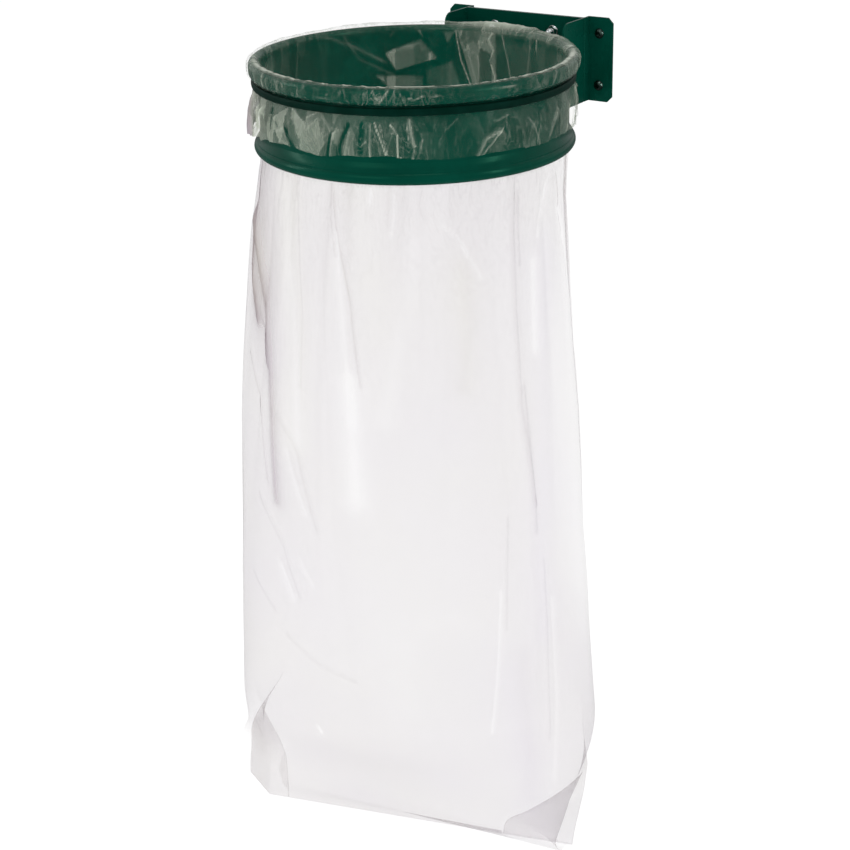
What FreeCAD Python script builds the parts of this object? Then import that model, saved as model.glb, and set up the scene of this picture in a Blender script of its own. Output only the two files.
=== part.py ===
import FreeCAD, Part
import math
import os
import Sketcher

# Wall-mounted bag holder: a hat-section wall plate screwed to the wall, a U bracket bolted to it,
# a rolled steel collar welded to the bracket's toes, and a film bag folded over the collar's rim and
# held by a rubber strap. The origin is the centre of the four wall fixings, on the wall's face:
# +Y goes into the wall, +Z is up, and the collar stands out towards -Y.

doc = FreeCAD.newDocument("bag_holder")
sheet = doc.addObject("Spreadsheet::Sheet", "Sizes")

DIMENSIONS = {
    # collar, whose own frame has its origin on the axis, level with the top of the rim
    "axisToWall": 280,
    "rimLevel": 47,
    "collarBore": 188,
    "collarGauge": 1.5,
    "collarHeight": 111.5,
    "rimWidth": 12,
    "rimRound": 6,
    "rimHeight": 19,
    "curlGap": 0.8,
    "flareTop": 86,
    "flareWidth": 5,
    "flareHeight": 10,
    "footRound": 7,
    "footEdge": 2.4,
    "footLand": 1.6,
    # wall plate
    "plateWidth": 250,
    "plateHeight": 110,
    "plateGauge": 2.5,
    "plateChamfer": 7,
    "webWidth": 181,
    "webStandoff": 14.6,
    "bendRound": 2.4,
    # bracket
    "cheekReach": 70,
    "cheekRound": 13,
    "toeHeight": 17,
    "toeRound": 9,
    "toeCover": 30,
    "toeSpare": 10,
    "weldGap": 0.1,
    "weldRound": 2.2,
    "weldLength": 9,
    "weldRise": 1,
    "weldBite": 0.4,
    # fixings
    "fixingSpanX": 211,
    "fixingSpanZ": 68,
    "boltSpanX": 89,
    "shankRadius": 4,
    "shankPoint": 1,
    "shoulderRadius": 4.3,
    "holeRadius": 4.5,
    "screwLength": 27.5,
    "headRadius": 6.6,
    "headHeight": 4.6,
    "headEdge": 0.8,
    "socketRadius": 2.9,
    "socketDepth": 2.6,
    "boltLength": 14.5,
    "boltHeadHeight": 4,
    "washerRadius": 8,
    "washerGauge": 1.6,
    "washerPlay": 0.2,
    "washerEdge": 0.4,
    "nutRadius": 7.5,
    "nutHeight": 6.5,
    "domeRadius": 5.6,
    "domeBase": 6.5,
    "boreRoom": 4,
    "boreCone": 2,
    # strap
    "strapInner": 194.1,
    "strapGauge": 3.4,
    "strapTop": 21.2,
    "strapWidth": 10.6,
    "strapRound": 1.2,
    # bag
    "filmGauge": 1.5,
    "filmGap": 0.3,
    "cuffBottom": 113,
    "skirtBottom": 79,
    "skirtBulge": 204.5,
    "skirtFan": 12,
    "skirtDrop": 16,
    "seamDrop": 1040,
    "seamHalf": 226,
    "seamAngle": 14,
}
for row, (alias, size) in enumerate(DIMENSIONS.items(), start=1):
    sheet.set(f"A{row}", alias)
    sheet.set(f"B{row}", str(size))
    sheet.setAlias(f"B{row}", alias)
doc.recompute()


def bound(text):
    """The expression for text, in which each dimension's name stands for its cell."""
    for alias in sorted(DIMENSIONS, key=len, reverse=True):
        text = text.replace(alias, f"<{list(DIMENSIONS).index(alias)}>")
    for row, alias in enumerate(DIMENSIONS):
        text = text.replace(f"<{row}>", f"Sizes.{alias}")
    return text


def value(text):
    """The number that an expression of the sheet's dimensions comes to."""
    return float(sheet.evalExpression(bound(text)))


def bind(item, **sizes):
    """Bind the properties of a document object to expressions of the sheet's dimensions."""
    for name, text in sizes.items():
        setattr(item, name, value(text))
        item.setExpression(name, bound(text))


def place(item, x="0", y="0", z="0", turn=None):
    """Put an object at a point given by expressions, turned by a rotation if there is one."""
    base = FreeCAD.Vector(value(x), value(y), value(z))
    item.Placement = FreeCAD.Placement(base, turn or FreeCAD.Rotation())
    for axis, text in zip("xyz", (x, y, z)):
        item.setExpression(f".Placement.Base.{axis}", bound(text))


def new_body(label):
    body = doc.addObject("PartDesign::Body", label)
    body.Label = label
    return body


def new_sketch(body, plane):
    """A sketch on one of the body's own origin planes."""
    sketch = body.newObject("Sketcher::SketchObject", f"{body.Name}_sketch")
    support = next(f for f in body.Origin.OriginFeatures if f.Role == plane)
    sketch.AttachmentSupport = [(support, "")]
    sketch.MapMode = "FlatFace"
    doc.recompute()
    return sketch


def pin_point(sketch, edge, end, x, y):
    """Fix a point of the sketch at the two expressions, or on an axis where one is zero."""
    for kind, text, axis in (("DistanceX", x, -2), ("DistanceY", y, -1)):
        if text == "0":
            sketch.addConstraint(Sketcher.Constraint("PointOnObject", edge, end, axis))
        else:
            distance = Sketcher.Constraint(kind, -1, 1, edge, end, value(text))
            index = sketch.addConstraint(distance)
            sketch.setExpression(f"Constraints[{index}]", bound(text))


def arc_between(start, end, radius, side):
    """The shorter arc from start to end, its bulge on the left (1) or right (-1) of the way."""
    chord = end - start
    across = FreeCAD.Vector(-chord.y, chord.x, 0).normalize()
    depth = math.sqrt(max(radius ** 2 - (chord.Length / 2) ** 2, 0))
    centre = (start + end) / 2 - across * side * depth
    circle = Part.Circle(centre, FreeCAD.Vector(0, 0, 1), radius)
    angles = [math.atan2(p.y - centre.y, p.x - centre.x) for p in (start, end)]
    if side > 0:
        angles.reverse()
    return Part.ArcOfCircle(circle, *angles)


def outline(sketch, corners):
    """Draw a closed outline through the corners.

    A corner is its x and y expressions, and, where an arc leads on to the next corner, also the
    arc's radius and the side that it bulges to.
    """
    points = [FreeCAD.Vector(value(c[0]), value(c[1]), 0) for c in corners]
    edges = []
    for index, corner in enumerate(corners):
        start = points[index]
        end = points[(index + 1) % len(points)]
        if len(corner) == 2:
            edges.append((sketch.addGeometry(Part.LineSegment(start, end)), 1, 2))
            continue
        arc = arc_between(start, end, value(corner[2]), corner[3])
        first, last = (1, 2) if corner[3] < 0 else (2, 1)
        edges.append((sketch.addGeometry(arc), first, last))
    for index, (corner, (edge, first, last)) in enumerate(zip(corners, edges)):
        follower, follower_first, _ = edges[(index + 1) % len(edges)]
        joined = Sketcher.Constraint("Coincident", edge, last, follower, follower_first)
        sketch.addConstraint(joined)
        pin_point(sketch, edge, first, corner[0], corner[1])
        if len(corner) > 2:
            size = Sketcher.Constraint("Radius", edge, value(corner[2]))
            constraint = sketch.addConstraint(size)
            sketch.setExpression(f"Constraints[{constraint}]", bound(corner[2]))


def feature(body, kind, sketch, **sizes):
    """Add a sketch-based feature to the body, its sizes bound, and keep it as the tip."""
    item = body.newObject(f"PartDesign::{kind}", f"{body.Name}_{kind.lower()}")
    item.Profile = sketch
    if kind in ("Revolution", "Groove"):
        item.ReferenceAxis = (sketch, ["V_Axis"])
        item.Angle = 360
    bind(item, **sizes)
    return item


def turned(label, plane, corners):
    """A body of revolution about its own Z axis."""
    body = new_body(label)
    sketch = new_sketch(body, plane)
    outline(sketch, corners)
    feature(body, "Revolution", sketch)
    return body


def circles(sketch, centres, radius):
    """Equal circles at the given pairs of expressions."""
    for x, y in centres:
        centre = FreeCAD.Vector(value(x), value(y), 0)
        circle = Part.Circle(centre, FreeCAD.Vector(0, 0, 1), value(radius))
        edge = sketch.addGeometry(circle)
        pin_point(sketch, edge, 3, x, y)
        size = sketch.addConstraint(Sketcher.Constraint("Radius", edge, value(radius)))
        sketch.setExpression(f"Constraints[{size}]", bound(radius))


def cut_through(body, sketch):
    """Cut the sketch's outlines right through the body, both ways from its plane."""
    before = body.Shape.Volume
    pocket = feature(body, "Pocket", sketch)
    pocket.Type = "ThroughAll"
    pocket.SideType = "Symmetric"
    doc.recompute()
    if body.Shape.Volume >= before:
        raise ValueError(f"the cut in {body.Label} removes nothing")


def corner_edges(body, wanted):
    """The names of the body's straight edges that the test accepts, given their two ends."""
    names = []
    for number, edge in enumerate(body.Shape.Edges, start=1):
        if len(edge.Vertexes) == 2 and wanted(*(v.Point for v in edge.Vertexes)):
            names.append(f"Edge{number}")
    return names


def dress(body, kind, size_name, size, names):
    """Fillet or chamfer the named edges of the body's present shape."""
    base = body.Tip
    item = body.newObject(f"PartDesign::{kind}", f"{body.Name}_{kind.lower()}")
    item.Base = (base, names)
    bind(item, **{size_name: size})
    doc.recompute()


SIDES = {"left": "-", "right": ""}
LEVELS = {"upper": "", "lower": "-"}

# The collar's outer line from the straight wall down over the flare and the foot bead. The bracket's
# toes are cut to the same line.
WALL_OUTER = "collarBore + collarGauge"
FLARE_OUTER = "collarBore + collarGauge + flareWidth"
FOOT_LINE = [
    (WALL_OUTER, "-flareTop", "flareHeight * 2", -1),
    (FLARE_OUTER, "-flareTop - flareHeight"),
    (FLARE_OUTER, "-flareTop - flareHeight - footLand", "footRound * 1.1", 1),
    ("collarBore + footEdge", "-collarHeight"),
]


def make_collar():
    """Rolled sheet hoop: an oval curl at the rim, a straight wall, and a flare with a bead."""
    top_inner = "collarBore + collarGauge"
    curl_low = "-rimHeight + rimRound"
    mid_curl = "collarBore + rimRound"
    body = turned(
        "collar",
        "XZ_Plane",
        [
            ("collarBore", "-rimRound", "rimRound", 1),
            (mid_curl, "0", "rimRound", 1),
            ("collarBore + rimWidth", "-rimRound"),
            ("collarBore + rimWidth", curl_low, "rimRound", 1),
            (mid_curl, "-rimHeight"),
            ("collarBore + collarGauge + curlGap", "-rimHeight"),
            ("collarBore + collarGauge + curlGap", "-rimHeight + collarGauge"),
            (mid_curl, "-rimHeight + collarGauge", "rimRound - collarGauge", -1),
            ("collarBore + rimWidth - collarGauge", curl_low),
            ("collarBore + rimWidth - collarGauge", "-rimRound", "rimRound - collarGauge", -1),
            (mid_curl, "-collarGauge", "rimRound - collarGauge", -1),
            (top_inner, "-rimRound"),
            *FOOT_LINE,
            ("collarBore", "-collarHeight + footEdge"),
        ],
    )
    place(body, y="-axisToWall", z="rimLevel")
    return body


def make_plate():
    """Hat section: two ears on the wall and a raised web between them, in one folded sheet."""
    body = new_body("wall_plate")
    plan = new_sketch(body, "XY_Plane")
    half = "plateWidth / 2"
    root = "webWidth / 2"
    inner = "webWidth / 2 - plateGauge"
    outline(
        plan,
        [
            (f"-{half}", "0"),
            (f"-{half}", "-plateGauge"),
            (f"-{root}", "-plateGauge"),
            (f"-{root}", "-webStandoff"),
            (root, "-webStandoff"),
            (root, "-plateGauge"),
            (half, "-plateGauge"),
            (half, "0"),
            (inner, "0"),
            (inner, "plateGauge - webStandoff"),
            (f"-({inner})", "plateGauge - webStandoff"),
            (f"-({inner})", "0"),
        ],
    )
    pad = feature(body, "Pad", plan, Length="plateHeight")
    pad.SideType = "Symmetric"
    doc.recompute()
    wide = value(half)
    tall = value("plateHeight / 2")
    front = value("-webStandoff")
    across = corner_edges(
        body,
        lambda a, b: abs(a.x - b.x) < 0.01
        and abs(abs(a.x) - wide) < 0.01
        and abs(a.z - b.z) < 0.01
        and abs(abs(a.z) - tall) < 0.01,
    )
    dress(body, "Chamfer", "Size", "plateChamfer", across)
    bends = corner_edges(
        body,
        lambda a, b: abs(a.z - b.z) > tall
        and abs(a.y - front) < 0.01
        and abs(abs(a.x) - value(root)) < 0.01,
    )
    dress(body, "Fillet", "Radius", "bendRound", bends)
    fixings = new_sketch(body, "XZ_Plane")
    for span in ("fixingSpanX", "boltSpanX"):
        centres = [
            (f"{side}{span} / 2", f"{level}fixingSpanZ / 2")
            for side in SIDES.values()
            for level in LEVELS.values()
        ]
        circles(fixings, centres, "holeRadius")
    cut_through(body, fixings)
    return body


def make_bracket():
    """U bracket: a web bolted to the wall plate's web, and two cheeks with toes to the collar."""
    body = new_body("bracket")
    plan = new_sketch(body, "XY_Plane")
    outer = "webWidth / 2"
    inner = "webWidth / 2 - plateGauge"
    tip = "-axisToWall + collarBore - toeCover"
    outline(
        plan,
        [
            (f"-({outer})", "-webStandoff"),
            (f"-({outer})", tip),
            (f"-({inner})", tip),
            (f"-({inner})", "-webStandoff - plateGauge"),
            (inner, "-webStandoff - plateGauge"),
            (inner, tip),
            (outer, tip),
            (outer, "-webStandoff"),
        ],
    )
    pad = feature(body, "Pad", plan, Length="plateHeight")
    pad.SideType = "Symmetric"
    doc.recompute()
    # the cheeks stand back from the collar, to leave room for the bag, except at the toes
    side = new_sketch(body, "YZ_Plane")
    top = "plateHeight / 2"
    toe_top = "toeHeight - plateHeight / 2"
    beyond = "-axisToWall + collarBore - toeCover - toeSpare"
    outline(
        side,
        [
            (beyond, f"{top} + toeSpare"),
            ("cheekRound - cheekReach", f"{top} + toeSpare"),
            ("cheekRound - cheekReach", top, "cheekRound", -1),
            ("-cheekReach", f"{top} - cheekRound"),
            ("-cheekReach", f"{toe_top} + toeRound", "toeRound", 1),
            ("-cheekReach - toeRound", toe_top),
            (beyond, toe_top),
        ],
    )
    cut_through(body, side)
    bends = corner_edges(
        body,
        lambda a, b: abs(a.z - b.z) > value(top)
        and abs(a.y - value("-webStandoff")) < 0.01
        and abs(abs(a.x) - value(outer)) < 0.01,
    )
    dress(body, "Fillet", "Radius", "bendRound", bends)
    holes = new_sketch(body, "XZ_Plane")
    centres = [
        (f"{side_sign}boltSpanX / 2", f"{level}fixingSpanZ / 2")
        for side_sign in SIDES.values()
        for level in LEVELS.values()
    ]
    circles(holes, centres, "holeRadius")
    cut_through(body, holes)
    return body


def make_collar_envelope():
    """What the collar fills, a weld gap larger, for cutting the bracket's toes to it."""
    line = [(f"{corner[0]} + weldGap", *corner[1:]) for corner in FOOT_LINE]
    body = turned(
        "collar_envelope",
        "XZ_Plane",
        [
            ("0", "-rimHeight"),
            (f"{WALL_OUTER} + weldGap", "-rimHeight"),
            *line,
            ("0", "-collarHeight"),
        ],
    )
    place(body, y="-axisToWall", z="rimLevel")
    return body


def make_welds():
    """A fillet weld on the outer side of each toe, where it meets the collar's foot."""
    reach = "sqrt((collarBore + collarGauge + flareWidth) ^ 2 - (webWidth / 2) ^ 2)"
    welds = []
    for name, sign in SIDES.items():
        weld = doc.addObject("Part::Cylinder", f"toe_weld_{name}")
        weld.Label = f"toe_weld_{name}"
        bind(weld, Radius="weldRound", Height="weldLength")
        place(
            weld,
            x=f"{sign}(webWidth / 2 + weldRound * weldBite)",
            y=f"-axisToWall + {reach}",
            z="weldRise - plateHeight / 2",
        )
        welds.append(weld)
    return welds


def button_screw(label):
    """Domed socket screw along +Z, its head below the plane z = 0 where it bears.

    A shoulder fills the plate's hole, and the shank beyond it goes into the wall.
    """
    body = turned(
        label,
        "XZ_Plane",
        [
            ("0", "-headHeight"),
            ("headRadius * 0.5", "-headHeight", "headRadius * 1.2", -1),
            ("headRadius", "-headEdge"),
            ("headRadius", "0"),
            ("shoulderRadius", "0"),
            ("shoulderRadius", "plateGauge"),
            ("shankRadius", "plateGauge"),
            ("shankRadius", "screwLength - shankPoint"),
            ("shankRadius - shankPoint", "screwLength"),
            ("0", "screwLength"),
        ],
    )
    doc.recompute()
    socket = new_sketch(body, "XY_Plane")
    hexagon(socket, "socketRadius")
    socket.AttachmentOffset.Base = FreeCAD.Vector(0, 0, value("-headHeight"))
    socket.setExpression(".AttachmentOffset.Base.z", bound("-headHeight"))
    before = body.Shape.Volume
    pocket = feature(body, "Pocket", socket, Length="socketDepth")
    pocket.Reversed = True
    doc.recompute()
    if body.Shape.Volume >= before:
        raise ValueError(f"the socket in {label} removes nothing")
    return body


def hexagon(sketch, radius):
    """A regular hexagon about the sketch's origin, given the radius to its corners."""
    corners = []
    for step in range(6):
        x = f"{radius} * {math.cos(math.radians(60 * step + 30)):.6f}"
        y = f"{radius} * {math.sin(math.radians(60 * step + 30)):.6f}"
        corners.append((x, y))
    corners[1] = ("0", radius)
    corners[4] = ("0", f"-{radius}")
    outline(sketch, corners)


def carriage_bolt(label):
    """Low domed bolt along +Z, its head below the plane z = 0 where it bears."""
    return turned(
        label,
        "XZ_Plane",
        [
            ("0", "-boltHeadHeight"),
            ("headRadius * 0.4", "-boltHeadHeight", "headRadius * 1.6", -1),
            ("headRadius", "-headEdge"),
            ("headRadius", "0"),
            ("shankRadius", "0"),
            ("shankRadius", "boltLength - shankPoint"),
            ("shankRadius - shankPoint", "boltLength"),
            ("0", "boltLength"),
        ],
    )


def washer(label):
    return turned(
        label,
        "XZ_Plane",
        [
            ("shankRadius + washerPlay", "0"),
            ("washerRadius", "0"),
            ("washerRadius", "washerGauge - washerEdge"),
            ("washerRadius - washerEdge", "washerGauge"),
            ("shankRadius + washerPlay", "washerGauge"),
        ],
    )


def cap_nut(label):
    """Domed nut: a hexagon with a blind bore under a dome, standing on the plane z = 0."""
    body = new_body(label)
    base = new_sketch(body, "XY_Plane")
    hexagon(base, "nutRadius")
    feature(body, "Pad", base, Length="nutHeight")
    doc.recompute()
    dome = new_sketch(body, "XZ_Plane")
    outline(
        dome,
        [
            ("0", "nutHeight / 2"),
            ("domeRadius", "nutHeight / 2"),
            ("domeRadius", "domeBase", "domeRadius", -1),
            ("0", "domeBase + domeRadius"),
        ],
    )
    feature(body, "Revolution", dome)
    doc.recompute()
    bore = new_sketch(body, "XZ_Plane")
    outline(
        bore,
        [
            ("0", "-shankPoint"),
            ("shankRadius + weldGap", "-shankPoint"),
            ("shankRadius + weldGap", "boltLength - boreRoom - boreCone"),
            ("0", "boltLength - boreRoom"),
        ],
    )
    before = body.Shape.Volume
    feature(body, "Groove", bore)
    doc.recompute()
    if body.Shape.Volume >= before:
        raise ValueError(f"the bore in {label} removes nothing")
    return body


def make_fasteners():
    """Four screws into the wall, and four bolts with washers and domed nuts through the webs."""
    into_wall = FreeCAD.Rotation(FreeCAD.Vector(0, 0, 1), FreeCAD.Vector(0, 1, 0))
    from_wall = FreeCAD.Rotation(FreeCAD.Vector(0, 0, 1), FreeCAD.Vector(0, -1, 0))
    front = "-webStandoff - plateGauge"
    pieces = []
    for level, level_sign in LEVELS.items():
        for side, side_sign in SIDES.items():
            spot = f"{level}_{side}"
            height = f"{level_sign}fixingSpanZ / 2"
            screw = button_screw(f"wall_screw_{spot}")
            place(screw, f"{side_sign}fixingSpanX / 2", "-plateGauge", height, into_wall)
            across = f"{side_sign}boltSpanX / 2"
            bolt = carriage_bolt(f"bracket_bolt_{spot}")
            place(bolt, across, "plateGauge - webStandoff", height, from_wall)
            ring = washer(f"bolt_washer_{spot}")
            place(ring, across, front, height, from_wall)
            nut = cap_nut(f"cap_nut_{spot}")
            place(nut, across, f"{front} - washerGauge", height, from_wall)
            pieces += [screw, bolt, ring, nut]
    return pieces


def make_strap():
    """Flat rubber band round the folded film, just under the rim."""
    inner = "strapInner"
    outer = "strapInner + strapGauge"
    bottom = "-strapTop - strapWidth"
    body = turned(
        "strap",
        "XZ_Plane",
        [
            (inner, "-strapTop"),
            (f"{outer} - strapRound", "-strapTop", "strapRound", 1),
            (outer, "-strapTop - strapRound"),
            (outer, f"{bottom} + strapRound", "strapRound", 1),
            (f"{outer} - strapRound", bottom),
            (inner, bottom),
        ],
    )
    place(body, y="-axisToWall", z="rimLevel")
    return body


def make_cuff():
    """The bag's fold over the rim, the gathered neck under the strap, and the skirt below it."""
    bore_side = "collarBore - filmGap - filmGauge"
    steel_side = "collarBore - filmGap"
    wide = "collarBore + rimWidth + filmGap"
    curl_low = "-rimHeight + rimRound"
    mid_curl = "collarBore + rimRound"
    neck = "strapInner - 0.4"
    strap_bottom = "-strapTop - strapWidth"
    inner_round = "rimRound + filmGap"
    outer_round = "rimRound + filmGap + filmGauge"
    return turned(
        "cuff",
        "XZ_Plane",
        [
            (bore_side, "-cuffBottom"),
            (bore_side, "-rimRound", outer_round, 1),
            (mid_curl, "filmGap + filmGauge", outer_round, 1),
            (f"{wide} + filmGauge", "-rimRound"),
            (f"{wide} + filmGauge", curl_low, outer_round, 1),
            (mid_curl, "-rimHeight - filmGap - filmGauge"),
            (neck, "-strapTop + 0.3"),
            (neck, f"{strap_bottom} - 0.4"),
            ("skirtBulge - 2", f"{strap_bottom} - skirtFan"),
            ("skirtBulge", "-skirtBottom + skirtDrop"),
            ("skirtBulge - 1", "-skirtBottom"),
            ("skirtBulge - 3", "-skirtBottom"),
            ("skirtBulge - 2.2", "-skirtBottom + skirtDrop"),
            ("skirtBulge - 4.5", f"{strap_bottom} - skirtFan"),
            (f"{WALL_OUTER} + filmGap", f"{strap_bottom} - 1"),
            (f"{WALL_OUTER} + filmGap", "-rimHeight - filmGap"),
            (mid_curl, "-rimHeight - filmGap", inner_round, -1),
            (wide, curl_low),
            (wide, "-rimRound", inner_round, -1),
            (mid_curl, "filmGap", inner_round, -1),
            (steel_side, "-rimRound"),
            (steel_side, "-cuffBottom"),
        ],
    )


# Cross-sections of the hanging bag below the collar: depth under the rim, half width along the bottom
# seam, half depth across it, and how far the middle has drifted along X and Y.
BAG_SECTIONS = [
    ("cuffBottom - 1", "collarBore - filmGap - 0.6", "collarBore - filmGap - 0.6", "0", "0"),
    ("170", "193", "191", "-5", "-4"),
    ("300", "209", "200", "-8", "-8"),
    ("480", "230", "204", "-7", "-20"),
    ("700", "243", "202", "0", "-42"),
    ("880", "246", "178", "12", "-62"),
    ("980", "240", "112", "24", "-80"),
    ("seamDrop", "seamHalf", "4", "32", "-92"),
]


def make_bag_skin(name, inset, top_rise, bottom_rise):
    """A closed loft through the bag's sections, drawn in by inset."""
    rings = []
    last = len(BAG_SECTIONS) - 1
    for index, (depth, half, thick, x, y) in enumerate(BAG_SECTIONS):
        ring = doc.addObject("Part::Ellipse", f"{name}_ring_{index}")
        shrink = inset if index < last else f"({inset}) * 0.5"
        bind(ring, MajorRadius=f"{half} - {shrink}", MinorRadius=f"{thick} - {shrink} - 0.01")
        rise = top_rise if index == 0 else bottom_rise if index == last else "0"
        turn = FreeCAD.Rotation(FreeCAD.Vector(0, 0, 1), value("seamAngle"))
        place(ring, x, y, f"-({depth}) + {rise}", turn)
        rings.append(ring)
    loft = doc.addObject("Part::Loft", name)
    loft.Sections = rings
    loft.Solid = True
    return loft


def make_bag():
    """Film bag as one thick-walled shell, open at the rim and closed along the bottom seam."""
    outer = make_bag_skin("bag_outside", "0", "0", "0")
    inner = make_bag_skin("bag_inside", "filmGauge", "3", "4")
    cuff = make_cuff()
    doc.recompute()
    shell = doc.addObject("Part::Cut", "bag_shell")
    shell.Base = outer
    shell.Tool = inner
    shell.Refine = False
    bag = doc.addObject("Part::MultiFuse", "bag")
    bag.Shapes = [shell, cuff]
    bag.Refine = False
    bag.Label = "bag"
    place(bag, y="-axisToWall", z="rimLevel")
    return bag


def make_trimmed_bracket():
    """The bracket with its toes cut to the collar's foot."""
    blank = make_bracket()
    envelope = make_collar_envelope()
    doc.recompute()
    trimmed = doc.addObject("Part::Cut", "bracket_trimmed")
    trimmed.Base = blank
    trimmed.Tool = envelope
    blank.Label = "bracket_blank"
    trimmed.Label = "bracket"
    return trimmed


def main():
    pieces = [make_collar(), make_plate(), make_trimmed_bracket(), *make_welds()]
    pieces += [*make_fasteners(), make_strap(), make_bag()]
    doc.recompute()
    for item in doc.Objects:
        if "Invalid" in item.State or "Error" in item.State:
            raise ValueError(f"{item.Label} is {item.State}")
    os.makedirs("parts", exist_ok=True)
    for piece in pieces:
        shape = piece.Shape
        if shape.isNull() or not shape.isValid():
            raise ValueError(f"{piece.Label} has no valid shape")
        shape.exportStep(f"parts/{piece.Label}.step")
        box = shape.BoundBox
        print(f"{piece.Label}: {len(shape.Solids)} solid, {shape.Volume / 1000:.2f} cm3,",
              f"z {box.ZMin:.1f} to {box.ZMax:.1f}")


main()
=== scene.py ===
import bpy
import math
import numpy as np
from mathutils import Matrix, Vector


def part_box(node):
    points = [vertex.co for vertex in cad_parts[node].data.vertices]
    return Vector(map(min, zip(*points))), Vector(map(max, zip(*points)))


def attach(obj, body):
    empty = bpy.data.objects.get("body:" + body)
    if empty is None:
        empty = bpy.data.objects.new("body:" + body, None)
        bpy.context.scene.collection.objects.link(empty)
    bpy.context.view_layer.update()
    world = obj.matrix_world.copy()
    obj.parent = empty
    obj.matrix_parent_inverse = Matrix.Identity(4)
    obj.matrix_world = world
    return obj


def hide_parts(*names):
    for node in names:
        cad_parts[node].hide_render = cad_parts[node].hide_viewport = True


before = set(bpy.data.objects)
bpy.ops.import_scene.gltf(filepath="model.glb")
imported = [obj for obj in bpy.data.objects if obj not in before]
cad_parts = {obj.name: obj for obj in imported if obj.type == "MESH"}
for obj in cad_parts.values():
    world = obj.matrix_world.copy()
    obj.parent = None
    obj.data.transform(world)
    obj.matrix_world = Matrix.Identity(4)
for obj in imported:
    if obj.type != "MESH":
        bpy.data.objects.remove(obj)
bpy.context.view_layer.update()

mm = 0.001

# places read from the frame
collarLow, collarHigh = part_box("collar")
axisX = (collarLow.x + collarHigh.x) / 2
axisY = (collarLow.y + collarHigh.y) / 2
rimTop = collarHigh.z
bagLow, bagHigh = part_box("bag")
strapLow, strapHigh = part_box("strap")

cameraView = {
    "azimuth": 34.1,        # degrees round the collar's axis, from straight in front
    "distance": 2.18235,    # metres from the axis, along the floor
    "height": 0.43322,      # metres above the rim
    "aimLeft": 0.11,        # degrees
    "pitch": 22.883,
    "roll": -1.3056,
    "lens": 76.235,
}


def makeCamera(view):
    turn = math.radians(view["azimuth"])
    data = bpy.data.cameras.new("camera")
    data.lens = view["lens"]
    data.sensor_width = 36
    data.clip_end = 100
    camera = bpy.data.objects.new("camera", data)
    bpy.context.scene.collection.objects.link(camera)
    spot = Vector((
        axisX + view["distance"] * math.sin(turn),
        axisY - view["distance"] * math.cos(turn),
        rimTop + view["height"],
    ))
    aim = (
        Matrix.Rotation(turn - math.radians(view["aimLeft"]), 4, "Z")
        @ Matrix.Rotation(math.radians(90 - view["pitch"]), 4, "X")
        @ Matrix.Rotation(math.radians(view["roll"]), 4, "Z")
    )
    camera.matrix_world = Matrix.Translation(spot) @ aim
    bpy.context.scene.camera = camera


makeCamera(cameraView)
print("camera placed")


# sRGB hex to linear
def hexColour(text):
    channels = [int(text[i:i + 2], 16) / 255 for i in (1, 3, 5)]
    linear = [c / 12.92 if c <= 0.04045 else ((c + 0.055) / 1.055) ** 2.4 for c in channels]
    return tuple(linear) + (1.0,)


# a node with its settings and links, and the (place, colour) stops of a ramp
def addNode(tree, kind, settings=None, links=None, stops=None, **attributes):
    node = tree.nodes.new(kind)
    for name, value in attributes.items():
        setattr(node, name, value)
    for name, value in (settings or {}).items():
        node.inputs[name].default_value = value
    for name, source in (links or {}).items():
        tree.links.new(source, node.inputs[name])
    if stops:
        elements = node.color_ramp.elements
        while len(elements) < len(stops):
            elements.new(0.5)
        for element, (position, colour) in zip(elements, stops):
            element.position = position
            element.color = colour
    return node


def newMaterial(name):
    material = bpy.data.materials.new(name)
    material.use_nodes = True
    tree = material.node_tree
    tree.nodes.clear()
    output = tree.nodes.new("ShaderNodeOutputMaterial")
    return material, tree, output


def grey(level):
    return (level, level, level, 1.0)


# Polyester powder coat, sprayed and baked: an even satin green with a faint orange peel
coat = {
    "colour": "#04483A",
    "colourDeep": "#033F32",
    "roughness": 0.25,
    "gloss": 0.2,
    "glossTint": "#5CC9A0",
    "peelSize": 2.2 * mm,   # real peel is about 1 mm, drawn at 2.2 mm so that it shows
    "peelHeight": 0.25,
    "cloudSize": 60 * mm,
}


def makePowderCoat():
    material, tree, output = newMaterial("greenPowderCoat")
    place = addNode(tree, "ShaderNodeTexCoord").outputs["Object"]
    cloud = addNode(tree, "ShaderNodeTexNoise", {"Scale": 1 / coat["cloudSize"], "Detail": 3.0},
                    {"Vector": place})
    colour = addNode(tree, "ShaderNodeValToRGB", links={"Fac": cloud.outputs["Fac"]},
                     stops=[(0.35, hexColour(coat["colourDeep"])), (0.65, hexColour(coat["colour"]))])
    peel = addNode(tree, "ShaderNodeTexNoise", {"Scale": 1 / coat["peelSize"], "Detail": 2.0},
                   {"Vector": place})
    bump = addNode(tree, "ShaderNodeBump", {"Strength": coat["peelHeight"], "Distance": 0.05 * mm},
                   {"Height": peel.outputs["Fac"]})
    rough = addNode(tree, "ShaderNodeValToRGB", links={"Fac": cloud.outputs["Fac"]},
                    stops=[(0.3, grey(coat["roughness"] - 0.04)), (0.7, grey(coat["roughness"] + 0.05))])
    shader = addNode(tree, "ShaderNodeBsdfPrincipled",
                     {"IOR": 1.5, "Specular IOR Level": coat["gloss"],
                      "Specular Tint": hexColour(coat["glossTint"])},
                     {"Base Color": colour.outputs["Color"], "Roughness": rough.outputs["Color"],
                      "Normal": bump.outputs["Normal"]})
    tree.links.new(shader.outputs["BSDF"], output.inputs["Surface"])
    return material


# EPDM rubber, extruded: nearly black green, satin, with fine drag lines along its length
rubber = {
    "colour": "#04231B",
    "colourDusty": "#072B23",
    "roughness": 0.48,
    "gloss": 0.1,
    "glossTint": "#3A9C84",
    "dustSize": 18 * mm,
    "lineSize": 1.6 * mm,   # real drag lines are finer, drawn coarser so that they show
}


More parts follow.
